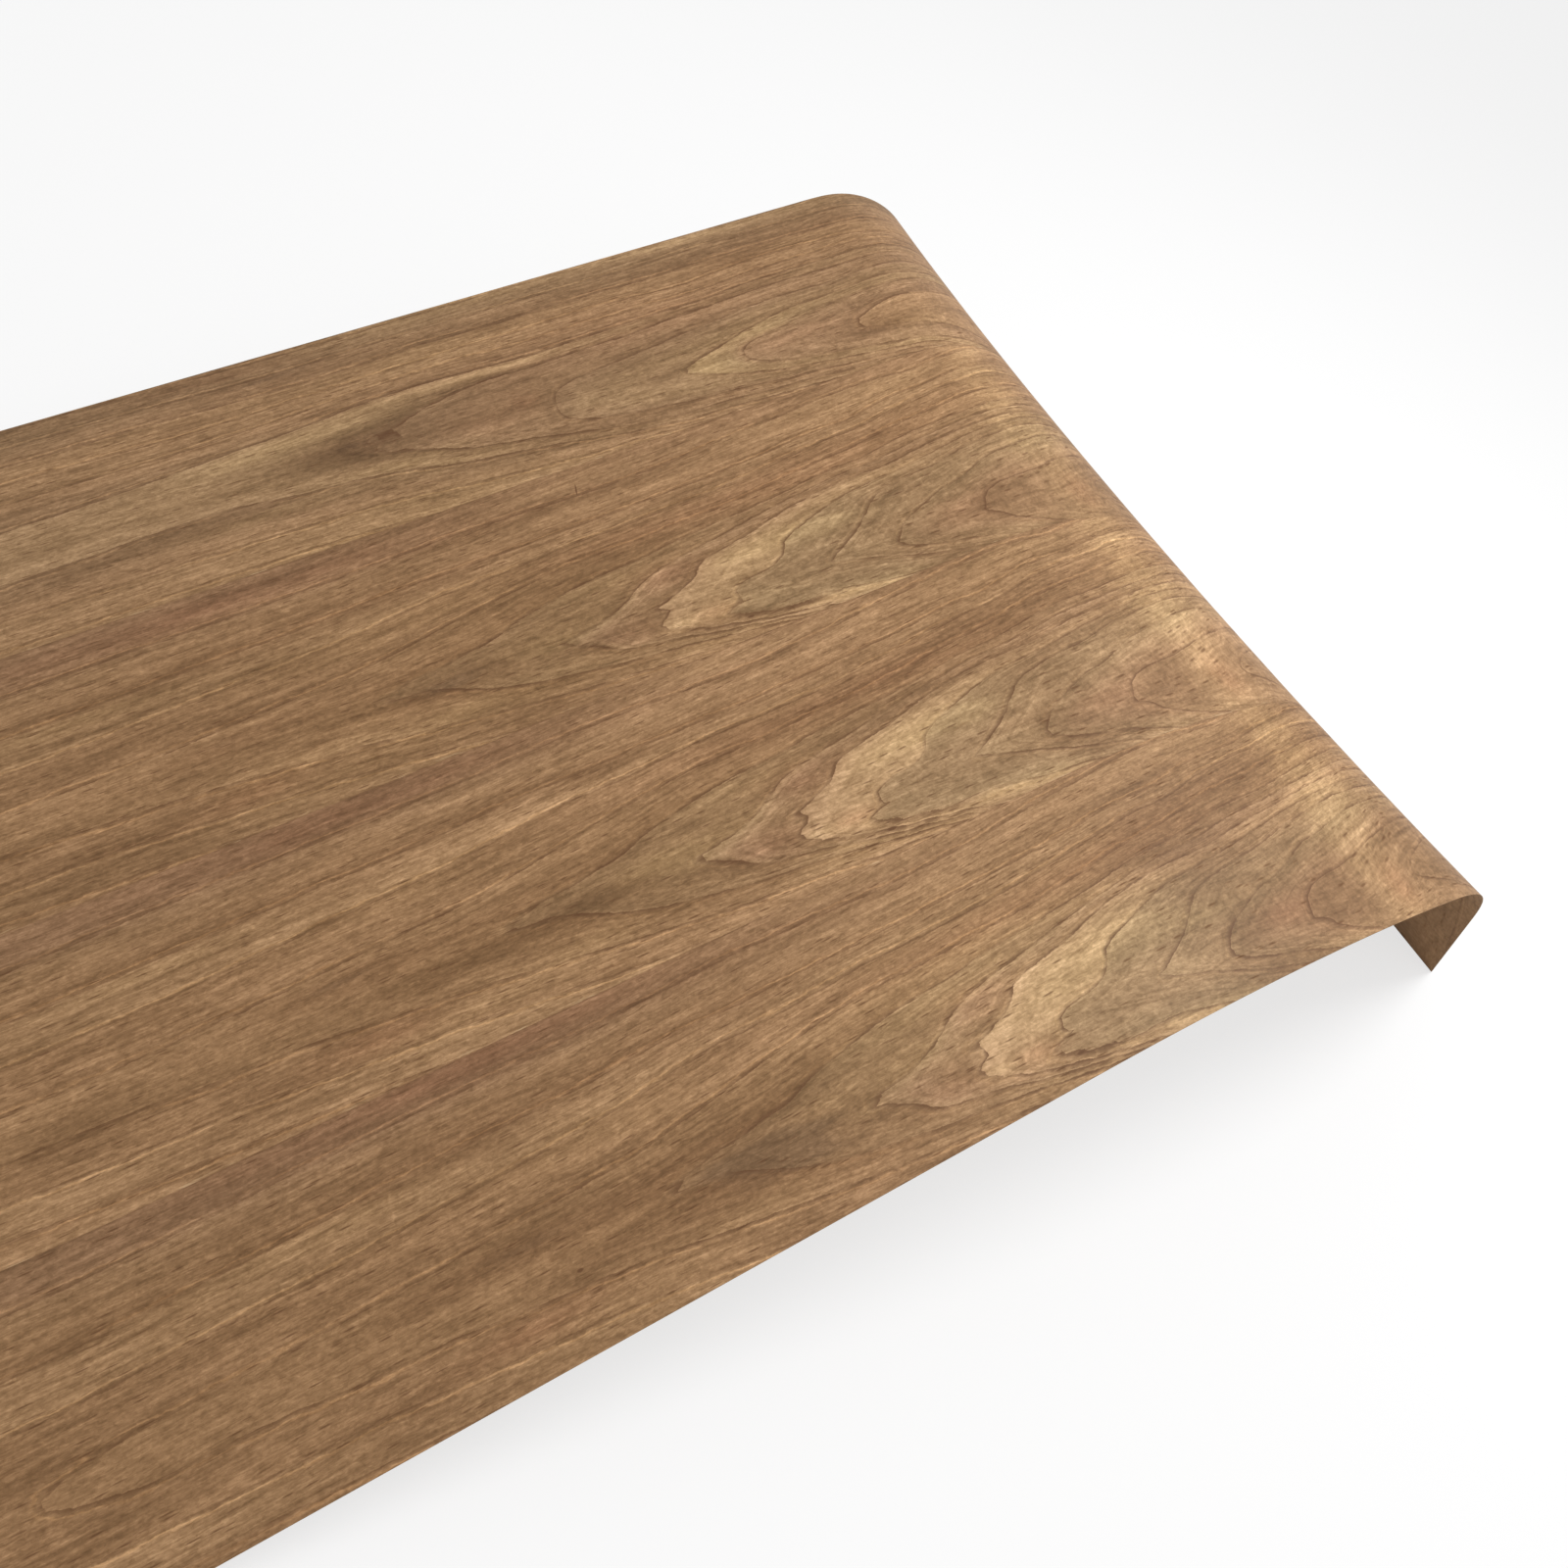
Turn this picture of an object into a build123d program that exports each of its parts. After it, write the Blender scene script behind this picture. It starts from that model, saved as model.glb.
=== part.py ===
from build123d import *
from math import cos, radians, sin
import os

os.makedirs("parts", exist_ok=True)

# A spliced sheet of walnut veneer: leaves jointed edge to edge into one thin sheet.
# It lies face up on a level floor. One end has kept the bend of the roll it came from,
# so the sheet leaves the floor, climbs a straight ramp, turns over a crest and comes
# down to stand on its own end edge. The bend runs askew: it starts early and slack at
# the near long edge, and late and tight at the far one.

# Sheet as it is cut, flat
sheet_length = 1220.0
sheet_width = 610.0
sheet_thickness = 0.6

# Bend that the whole width shares: underside radii, and turns in degrees
lift_radius = 500.0
ramp_angle = 15.0
slack_turn = 22.9
crest_radius = 112.0

# Near long edge: straight ramp, slack start of the bend, slope of the standing end
near_ramp = 428.0
near_slack_radius = 690.0
near_end_angle = 60.0

# Middle of the width
middle_ramp = 537.0
middle_slack_radius = 231.0
middle_end_angle = 50.0

# Far long edge
far_ramp = 571.0
far_slack_radius = 75.0
far_end_angle = 60.0

# Derived: slopes along the sheet, downhill below zero
ramp_slope = radians(ramp_angle)
slack_slope = radians(ramp_angle - slack_turn)

stations = [
    (-sheet_width / 2, near_ramp, near_slack_radius, near_end_angle),
    (0.0, middle_ramp, middle_slack_radius, middle_end_angle),
    (sheet_width / 2, far_ramp, far_slack_radius, far_end_angle),
]


def tail_length(ramp, slack_radius, end_angle):
    # Straight run below the crest that brings the end edge down to the floor
    end_slope = radians(end_angle)
    height = lift_radius * (1 - cos(ramp_slope)) + ramp * sin(ramp_slope)
    height += slack_radius * (cos(slack_slope) - cos(ramp_slope))
    height += crest_radius * (cos(end_slope) - cos(slack_slope))
    return height / sin(end_slope)


def floor_run(ramp, slack_radius, end_angle):
    # What the bend leaves of the sheet's length lies flat on the floor
    bent = lift_radius * ramp_slope + ramp + slack_radius * radians(slack_turn)
    bent += crest_radius * (slack_slope + radians(end_angle))
    return sheet_length - bent - tail_length(ramp, slack_radius, end_angle)


def reach(ramp, slack_radius, end_angle):
    # From the flat end to the outside of the standing end, seen from above
    end_slope = radians(end_angle)
    run = floor_run(ramp, slack_radius, end_angle)
    run += lift_radius * sin(ramp_slope) + ramp * cos(ramp_slope)
    run += slack_radius * (sin(ramp_slope) - sin(slack_slope))
    run += crest_radius * (sin(slack_slope) + sin(end_slope))
    run += tail_length(ramp, slack_radius, end_angle) * cos(end_slope)
    return run + sheet_thickness * sin(end_slope)


# The footprint is centred on the origin
footprint = max(reach(*shape) for place, *shape in stations)
flat_end = -footprint / 2
flat_stretch = 0.9 * min(floor_run(*shape) for place, *shape in stations)

with BuildPart() as veneer_sheet:
    # Flat end, on the floor across the whole width
    with BuildSketch():
        with Locations((flat_end, 0)):
            Rectangle(flat_stretch, sheet_width, align=(Align.MIN, Align.CENTER))
    extrude(amount=sheet_thickness)

    # Bent end, lofted across the width through the side profiles at the stations
    for place, ramp, slack_radius, end_angle in stations:
        lift_off = flat_end + floor_run(ramp, slack_radius, end_angle)
        tail = tail_length(ramp, slack_radius, end_angle)
        crest_turn = ramp_angle - slack_turn + end_angle
        with BuildSketch(Plane((flat_end + flat_stretch, place, 0), (1, 0, 0), (0, -1, 0))):
            with BuildLine():
                back_floor = Line((0, 0), (lift_off - flat_end - flat_stretch, 0))
                back_lift = JernArc(back_floor @ 1, back_floor % 1, lift_radius, ramp_angle)
                back_ramp = PolarLine(back_lift @ 1, ramp, ramp_angle)
                back_slack = JernArc(back_ramp @ 1, back_ramp % 1, slack_radius, -slack_turn)
                back_crest = JernArc(back_slack @ 1, back_slack % 1, crest_radius, -crest_turn)
                back_tail = PolarLine(back_crest @ 1, tail, -end_angle)
                offset(amount=sheet_thickness, side=Side.LEFT)
            make_face()
    loft()

veneer_sheet.part.label = "veneer_sheet"
export_step(veneer_sheet.part, "parts/veneer_sheet.step")
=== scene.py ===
import math

import bpy
import numpy as np
from mathutils import Matrix, Vector
from mathutils.bvhtree import BVHTree


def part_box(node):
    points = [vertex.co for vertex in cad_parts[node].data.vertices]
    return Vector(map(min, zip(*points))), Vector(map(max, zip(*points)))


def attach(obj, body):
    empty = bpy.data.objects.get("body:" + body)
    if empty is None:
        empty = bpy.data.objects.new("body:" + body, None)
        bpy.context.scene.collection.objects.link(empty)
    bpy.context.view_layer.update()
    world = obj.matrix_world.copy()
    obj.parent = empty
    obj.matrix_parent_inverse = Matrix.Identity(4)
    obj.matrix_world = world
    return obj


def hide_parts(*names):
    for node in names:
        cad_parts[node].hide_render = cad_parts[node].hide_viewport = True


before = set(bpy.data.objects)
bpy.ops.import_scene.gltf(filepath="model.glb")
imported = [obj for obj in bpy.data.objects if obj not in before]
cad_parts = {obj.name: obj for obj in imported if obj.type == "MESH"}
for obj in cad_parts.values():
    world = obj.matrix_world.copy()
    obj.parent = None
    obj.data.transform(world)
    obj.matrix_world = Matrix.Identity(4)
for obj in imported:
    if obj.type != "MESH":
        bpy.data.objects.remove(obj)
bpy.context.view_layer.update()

millimetre = 0.001


def placed(name, data):
    made = bpy.data.objects.new(name, data)
    bpy.context.scene.collection.objects.link(made)
    return made


# The sheet's own form
sheetMake = {
    "length": 1.220,            # along the grain, laid flat
    "width": 0.610,             # across the grain
    "thickness": 0.0006,
    "seams": (0.1452, 0.2967, 0.4520),   # glue joints, measured from the near long edge
    "rowsPerLeaf": (36, 38, 38, 38),     # mesh rows across each leaf
    "columns": 320,             # mesh columns along the grain
    "probeStep": 0.001,         # how closely the CAD surface is read
    "probeInset": 0.00002,      # keeps the probes of both long edges on the sheet
    "probeRise": 0.05,          # how far above the sheet each probe starts
    "endHalvings": 12,          # steps of the search for where the standing end rests
    "evenAlong": 0.006,         # takes the CAD mesh's facets out, along the grain
    "evenAcross": 1.6,          # the same across the grain, in rows
    "evenEnd": 3.0,             # and along the standing end, in rows
    "leastEnd": 0.000001,       # least length that the standing end is carried on
}
leafEdges = (0.0,) + sheetMake["seams"] + (sheetMake["width"],)
leafCount = len(leafEdges) - 1
farLeaf = leafCount - 1


def cadSurface():
    # reads the top of the CAD solid row by row, with the place where each row's standing end rests
    node = bpy.data.objects["veneer_sheet"]
    tree = BVHTree.FromObject(node, bpy.context.evaluated_depsgraph_get())
    low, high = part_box("veneer_sheet")
    step, inset = sheetMake["probeStep"], sheetMake["probeInset"]
    down = Vector((0.0, 0.0, -1.0))

    def topAt(x, place):
        y = min(max(low.y + place, low.y + inset), high.y - inset)
        hit = tree.ray_cast(Vector((x, y, high.z + sheetMake["probeRise"])), down)[0]
        return np.nan if hit is None else hit.z

    across = [0.0]
    for near, far, rows in zip(leafEdges, leafEdges[1:], sheetMake["rowsPerLeaf"]):
        across += [near + (far - near) * (row + 1) / rows for row in range(rows)]
    probes = np.arange(low.x + step / 2, high.x, step)
    heights = np.array([[topAt(x, place) for x in probes] for place in across])
    ends = []
    for place, row in zip(across, heights):
        near = probes[np.flatnonzero(~np.isnan(row))[-1]]
        far = near + step
        for _ in range(sheetMake["endHalvings"]):
            middle = (near + far) / 2
            near, far = (near, middle) if np.isnan(topAt(middle, place)) else (middle, far)
        ends.append(near)
    return np.array(across), probes, heights, np.array(ends), low


def evened(values, spread):
    # a running Gaussian mean, four spreads to each side, whose ends keep their place and slope
    reach = int(spread * 4)
    offsets = np.arange(-reach, reach + 1)
    weights = np.exp(-0.5 * (offsets / spread) ** 2)
    weights /= weights.sum()
    ahead = 2 * values[0] - values[1:reach + 1][::-1]
    beyond = 2 * values[-1] - values[-reach - 1:-1][::-1]
    return np.convolve(np.concatenate((ahead, values, beyond)), weights, mode="valid")


def runAlong(xs, zs):
    # the length of a row from its flat end to each of its points
    return np.concatenate(([0.0], np.cumsum(np.hypot(np.diff(xs), np.diff(zs)))))


def sheetGrid():
    # lays each row out by its own length
    across, probes, heights, ends, low = cadSurface()
    columns, step = sheetMake["columns"], sheetMake["probeStep"]
    ends = evened(ends, sheetMake["evenEnd"])
    grid = np.zeros((len(across), columns + 1, 3))
    rowLengths = []
    for row, place in enumerate(across):
        known = ~np.isnan(heights[row])
        xs, zs = probes[known], heights[row][known]
        # carried on to the flat end, and down to where the standing end rests
        fall = (zs[-1] - zs[-4]) / (xs[-1] - xs[-4])
        beyond = max(ends[row] - xs[-1], sheetMake["leastEnd"])
        xs = np.concatenate(([low.x], xs, [xs[-1] + beyond]))
        zs = np.concatenate((zs[:1], zs, [zs[-1] + fall * beyond]))
        # read evenly along the slope, then evened out, so that the steep end keeps its form
        run = runAlong(xs, zs)
        even = np.linspace(0.0, run[-1], int(run[-1] / step) + 1)
        spread = sheetMake["evenAlong"] / step
        xs = evened(np.interp(even, run, xs), spread)
        zs = evened(np.interp(even, run, zs), spread)
        run = runAlong(xs, zs)
        rowLengths.append(run[-1])
        stops = np.linspace(0.0, run[-1], columns + 1)
        grid[row, :, 0] = np.interp(stops, run, xs)
        grid[row, :, 1] = low.y + place
        grid[row, :, 2] = np.interp(stops, run, zs)
    for column in range(columns + 1):
        for axis in (0, 2):
            grid[:, column, axis] = evened(grid[:, column, axis], sheetMake["evenAcross"])
    print("rows laid out: %.4f to %.4f m long" % (min(rowLengths), max(rowLengths)))
    return across, grid


across, topGrid = sheetGrid()
rowCount, columnCount = topGrid.shape[:2]
along = np.linspace(0.0, sheetMake["length"], columnCount)
facing = np.cross(np.gradient(topGrid, axis=1), np.gradient(topGrid, axis=0))
facing[:, :, 1] = 0.0           # the back lies straight below along the row, as the sheet was cut
facing /= np.linalg.norm(facing, axis=2, keepdims=True)
backGrid = topGrid - facing * sheetMake["thickness"]
backGrid[:, :, 2] = np.maximum(backGrid[:, :, 2], 0.0)
print("sheet surface read:", rowCount, "rows,", columnCount, "columns")

# The figure
# Rings are drawn in leaf widths: first number along the grain from the hook of the flame,
# second across from the leaf's own line. Age counts the rings from the bark inwards.
figureMake = {
    "leafWidth": 0.1493,
    "hookAlong": 0.654,         # the hook's distance from the flat end
    "nearEdge": -0.185,         # the near long edge, in leaf widths from the first leaf's line
    "slips": (0.045, 0.0, 0.02, 0.0),    # how far each leaf slipped along when it was laid
    "fans": ((0.055, 0.05), (0.055, 0.05), (0.055, 0.05), (0.015, 0.05)),    # spread above and below
    "fanMiddle": 0.06,          # the line that the fibre spreads from
    "fanSoftness": 0.25,
    "fanStart": -0.9,
    "rise": 0.06,               # how far the fibre climbs across the bend
    "riseStart": 1.5,
    "riseLength": 0.8,
    "stiffness": 0.4,           # along the grain the rings bend less than across it
    "ease": 2e-5,               # how far a ring may pass beside its points
    "spotFall": 0.7,            # how fast a soft spot fades from its middle
    "atOnce": 4000,             # places read at a time, to spare memory
    "leafApart": 0.7,           # steps that keep the fibre of leaves, faces and rim apart
    "faceApart": 3.1,
}
flameRings = {
    -3.0: [[(-4.4, 0.66), (-3.0, 0.67), (-1.8, 0.68), (-1.0, 0.69), (-0.3, 0.71), (0.05, 0.702),
         (0.45, 0.7), (0.9, 0.735), (1.3, 0.765), (1.6, 0.775), (2.2, 0.83), (3.0, 0.87), (3.8, 0.89)]],
    -2.0: [[(-4.4, 0.5), (-3.0, 0.5), (-1.8, 0.51), (-1.0, 0.53), (-0.8, 0.54), (-0.4, 0.55),
         (0.0, 0.555), (0.3, 0.56), (0.55, 0.57), (0.75, 0.577), (1.0, 0.593), (1.4, 0.615), (1.8, 0.66),
         (2.1, 0.71), (2.8, 0.75), (3.8, 0.78)],
        [(-4.4, -0.12), (-3.0, -0.13), (-2.4, -0.14), (-1.8, -0.17), (-1.5, -0.185), (-1.2, -0.205)]],
    -1.0: [[(-4.4, 0.34), (-3.0, 0.35), (-2.4, 0.355), (-1.8, 0.37), (-1.3, 0.395), (-1.0, 0.41),
         (-0.5, 0.462), (-0.1, 0.473), (0.07, 0.485), (0.3, 0.485), (0.5, 0.49), (0.8, 0.512),
         (1.05, 0.535), (1.25, 0.555), (1.54, 0.588), (1.8, 0.62), (2.1, 0.66), (2.8, 0.7), (3.8, 0.725)],
        [(-4.4, 0.0), (-3.0, -0.02), (-2.4, -0.035), (-1.8, -0.06), (-1.3, -0.1), (-0.9, -0.14),
         (-0.7, -0.165), (-0.5, -0.19)]],
    0.0: [[(-4.4, 0.2), (-3.2, 0.205), (-2.4, 0.215), (-1.8, 0.225), (-1.3, 0.245), (-0.9, 0.265),
         (-0.6, 0.31), (-0.3, 0.36), (0.0, 0.395), (0.3, 0.4), (0.6, 0.41), (0.9, 0.435), (1.3, 0.475),
         (1.8, 0.53), (2.1, 0.575), (3.0, 0.62), (3.8, 0.64)],
        [(-4.4, 0.12), (-3.2, 0.105), (-2.4, 0.085), (-1.8, 0.05), (-1.3, 0.01), (-1.0, -0.02),
         (-0.75, -0.06), (-0.5, -0.095), (-0.3, -0.12), (-0.1, -0.145), (0.1, -0.16), (0.4, -0.195)]],
    1.0: [[(-0.845, 0.118), (-0.8, 0.137), (-0.75, 0.15), (-0.68, 0.163), (-0.6, 0.166), (-0.53, 0.178),
         (-0.48, 0.187), (-0.42, 0.191), (-0.36, 0.208), (-0.29, 0.236), (-0.18, 0.257), (-0.1, 0.275),
         (0.0, 0.293), (0.07, 0.302), (0.2, 0.312), (0.33, 0.322), (0.42, 0.338), (0.6, 0.35),
         (0.9, 0.375), (1.3, 0.41), (1.8, 0.46), (2.1, 0.505), (3.0, 0.55), (3.8, 0.57)],
        [(-0.8, 0.107), (-0.72, 0.098), (-0.65, 0.085), (-0.6, 0.062), (-0.55, 0.04), (-0.5, 0.016),
         (-0.45, -0.004), (-0.4, -0.02), (-0.3, -0.045), (-0.2, -0.064), (-0.1, -0.08), (0.05, -0.1),
         (0.2, -0.118), (0.35, -0.14), (0.5, -0.165), (0.65, -0.19)]],
    1.5: [[(-0.45, 0.07)]],
    2.0: [[(-0.185, 0.064), (-0.15, 0.082), (-0.1, 0.09), (0.0, 0.107), (0.1, 0.14), (0.15, 0.17),
         (0.2, 0.2), (0.25, 0.222), (0.33, 0.245), (0.42, 0.262), (0.5, 0.272), (0.6, 0.288),
         (0.8, 0.322), (1.0, 0.348), (1.3, 0.37), (1.8, 0.42), (2.1, 0.455), (3.0, 0.5), (3.8, 0.52)],
        [(-0.15, 0.052), (-0.11, 0.034), (-0.075, 0.016), (-0.045, 0.0), (-0.02, -0.022), (0.01, -0.043),
         (0.08, -0.057), (0.15, -0.067), (0.25, -0.085), (0.35, -0.112), (0.48, -0.138), (0.6, -0.16),
         (0.75, -0.19)]],
    2.5: [[(0.03, 0.03)]],
    3.0: [[(0.175, 0.0), (0.21, 0.02), (0.245, 0.042), (0.235, 0.06), (0.195, 0.073), (0.26, 0.095),
         (0.34, 0.12), (0.4, 0.147), (0.43, 0.18), (0.46, 0.205), (0.52, 0.22), (0.62, 0.238),
         (0.7, 0.25), (0.78, 0.272), (0.85, 0.29), (0.95, 0.31), (1.05, 0.325), (1.25, 0.335),
         (1.6, 0.365), (1.85, 0.39), (2.1, 0.42), (3.1, 0.455), (3.8, 0.47)],
        [(0.19, -0.022), (0.2, -0.038), (0.25, -0.055), (0.3, -0.074), (0.36, -0.098), (0.42, -0.107),
         (0.48, -0.124), (0.55, -0.14), (0.63, -0.155), (0.72, -0.17), (0.8, -0.19)]],
    3.5: [[(0.36, -0.01), (0.52, 0.12)]],
    4.0: [[(0.5, 0.012), (0.52, 0.036), (0.56, 0.05), (0.66, 0.06), (0.72, 0.078), (0.765, 0.11),
         (0.8, 0.16), (0.84, 0.182), (0.88, 0.196), (0.97, 0.222), (1.07, 0.25), (1.2, 0.275),
         (1.4, 0.29), (1.7, 0.33), (2.1, 0.385), (2.5, 0.4), (3.1, 0.415), (3.8, 0.43)],
        [(0.51, -0.012), (0.54, -0.028), (0.58, -0.042), (0.65, -0.07), (0.72, -0.09), (0.8, -0.11),
         (0.9, -0.14), (1.0, -0.165), (1.1, -0.185)]],
    4.35: [[(0.62, 0.005)]],
    4.6: [[(0.75, -0.005)]],
    5.0: [[(0.9, -0.002), (0.95, 0.02), (1.0, 0.045), (1.05, 0.07), (1.1, 0.1), (1.15, 0.14), (1.2, 0.18),
         (1.24, 0.208), (1.32, 0.228), (1.4, 0.24), (1.5, 0.252), (1.6, 0.262), (1.75, 0.295),
         (2.1, 0.345), (2.5, 0.36), (3.1, 0.375), (3.8, 0.39)],
        [(0.96, -0.024), (1.05, -0.05), (1.12, -0.075), (1.2, -0.105), (1.3, -0.14), (1.4, -0.165),
         (1.5, -0.19)]],
    5.5: [[(1.06, -0.01)]],
    6.0: [[(1.2, -0.045), (1.215, -0.015), (1.25, 0.025), (1.29, 0.052), (1.33, 0.07), (1.38, 0.085),
         (1.43, 0.105), (1.5, 0.128), (1.58, 0.14), (1.65, 0.16), (1.72, 0.187), (1.8, 0.215),
         (1.9, 0.228), (2.1, 0.27), (2.5, 0.3), (3.1, 0.325), (3.8, 0.345)],
        [(1.235, -0.068), (1.28, -0.088), (1.34, -0.105), (1.42, -0.125), (1.5, -0.143), (1.56, -0.163),
         (1.64, -0.185)]],
    6.5: [[(1.42, -0.005)]],
    7.0: [[(1.6, -0.045), (1.625, -0.015), (1.635, 0.015), (1.665, 0.04), (1.7, 0.056), (1.75, 0.07),
         (1.85, 0.08), (1.95, 0.092), (2.03, 0.11), (2.1, 0.13), (2.25, 0.16), (2.6, 0.2), (3.1, 0.235),
         (3.8, 0.26)],
        [(1.645, -0.06), (1.675, -0.078), (1.685, -0.1), (1.73, -0.123), (1.78, -0.146), (1.85, -0.17),
         (1.95, -0.195)]],
    7.5: [[(1.95, -0.03)]],
    8.0: [[(2.25, -0.03), (2.35, 0.04), (2.6, 0.1), (3.1, 0.15), (3.8, 0.18)],
        [(2.35, -0.08), (2.6, -0.14)]],
    8.5: [[(2.6, -0.02)]],
    9.0: [[(2.85, -0.03), (2.95, 0.03), (3.2, 0.08), (3.8, 0.11)],
        [(2.95, -0.09), (3.2, -0.14), (3.5, -0.18)]],
    9.4: [[(3.5, -0.03)]],
}
wideRings = {
    -4.0: [[(-4.4, 0.78), (-2.4, 0.78), (-1.0, 0.79), (0.0, 0.79), (1.0, 0.79), (1.5, 0.805),
         (2.2, 0.81)]],
    -3.0: [[(-4.4, 0.68), (-2.4, 0.69), (-1.0, 0.705), (0.0, 0.71), (0.6, 0.71), (1.2, 0.71),
         (2.2, 0.72)]],
    -2.0: [[(-4.4, 0.58), (-2.4, 0.59), (-1.0, 0.6), (-0.3, 0.615), (0.0, 0.62), (0.4, 0.62), (1.2, 0.61),
         (2.2, 0.62)],
        [(-4.4, -0.1), (-2.4, -0.11), (-1.2, -0.12), (-0.6, -0.13)]],
    -1.0: [[(-4.4, 0.49), (-2.4, 0.5), (-1.0, 0.52), (-0.6, 0.535), (-0.2, 0.56), (0.1, 0.565),
         (0.5, 0.555), (0.9, 0.555), (1.5, 0.57), (2.2, 0.575)],
        [(-4.4, 0.02), (-2.4, 0.01), (-1.3, 0.0), (-0.9, -0.01), (-0.6, -0.02), (-0.3, -0.04),
         (-0.1, -0.07), (0.1, -0.095), (0.4, -0.12)]],
    0.0: [[(-4.4, 0.33), (-2.4, 0.37), (-1.6, 0.4), (-1.14, 0.422), (-0.9, 0.44), (-0.75, 0.45),
         (-0.5, 0.466), (-0.38, 0.482), (-0.2, 0.495), (0.0, 0.496), (0.1, 0.49), (0.3, 0.48),
         (0.45, 0.476), (0.6, 0.48), (0.8, 0.485), (1.2, 0.49), (1.6, 0.51), (2.2, 0.525)],
        [(-4.4, 0.16), (-2.4, 0.15), (-1.6, 0.16), (-1.2, 0.176), (-1.0, 0.178), (-0.9, 0.172),
         (-0.8, 0.155), (-0.65, 0.135), (-0.5, 0.125), (-0.3, 0.095), (-0.2, 0.07), (-0.1, 0.045),
         (0.1, 0.012), (0.3, -0.02), (0.5, -0.06), (0.7, -0.09), (1.0, -0.115), (1.3, -0.14)]],
    0.5: [[(-0.75, 0.27)]],
    1.0: [[(-0.34, 0.213), (-0.27, 0.247), (-0.235, 0.268), (-0.3, 0.292), (-0.38, 0.302), (-0.3, 0.311),
         (-0.23, 0.322), (-0.15, 0.352), (-0.1, 0.37), (-0.04, 0.384), (0.03, 0.395), (0.1, 0.405),
         (0.2, 0.415), (0.4, 0.414), (0.6, 0.42), (0.75, 0.422), (0.9, 0.427), (1.1, 0.443), (1.3, 0.452),
         (1.6, 0.462), (2.2, 0.475)],
        [(-0.3, 0.2), (-0.2, 0.17), (-0.1, 0.13), (-0.03, 0.1), (0.1, 0.07), (0.2, 0.05), (0.35, 0.012),
         (0.42, -0.002), (0.5, -0.025), (0.6, -0.05), (0.8, -0.075), (1.1, -0.09), (1.4, -0.11),
         (1.8, -0.14)]],
    1.5: [[(0.08, 0.22)]],
    2.0: [[(0.37, 0.15), (0.38, 0.195), (0.42, 0.25), (0.5, 0.275), (0.6, 0.29), (0.75, 0.305),
         (0.9, 0.322), (1.05, 0.34), (1.25, 0.36), (1.5, 0.38), (2.2, 0.41)],
        [(0.375, 0.11), (0.41, 0.075), (0.48, 0.045), (0.6, 0.02), (0.8, -0.01), (1.0, -0.035),
         (1.3, -0.07), (1.6, -0.1), (2.0, -0.14)]],
    2.5: [[(0.65, 0.15)]],
    3.0: [[(0.93, 0.13), (0.98, 0.162), (1.05, 0.185), (1.12, 0.2), (1.2, 0.222), (1.27, 0.245),
         (1.35, 0.264), (1.4, 0.275), (1.52, 0.295), (1.7, 0.303), (1.85, 0.312), (2.2, 0.335)],
        [(0.97, 0.108), (1.03, 0.08), (1.1, 0.05), (1.2, 0.02), (1.3, -0.008), (1.4, -0.028),
         (1.5, -0.045), (1.65, -0.068), (1.85, -0.1), (2.1, -0.135)]],
    4.0: [[(1.21, 0.12), (1.225, 0.155), (1.28, 0.183), (1.38, 0.2), (1.5, 0.222), (1.65, 0.245),
         (1.85, 0.265), (2.2, 0.29)],
        [(1.23, 0.085), (1.3, 0.045), (1.4, 0.015), (1.55, -0.01), (1.75, -0.045), (2.0, -0.08),
         (2.2, -0.11)]],
    4.5: [[(1.48, 0.1)]],
    5.0: [[(1.76, 0.09), (1.775, 0.12), (1.82, 0.137), (1.87, 0.155), (1.92, 0.172), (2.0, 0.185),
         (2.1, 0.195), (2.3, 0.21)],
        [(1.775, 0.065), (1.83, 0.048), (1.92, 0.03), (2.05, 0.01), (2.2, -0.02)]],
    5.5: [[(2.05, 0.1)]],
    6.0: [[(2.35, 0.1), (2.5, 0.15)],
        [(2.5, 0.05)]],
}
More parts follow.
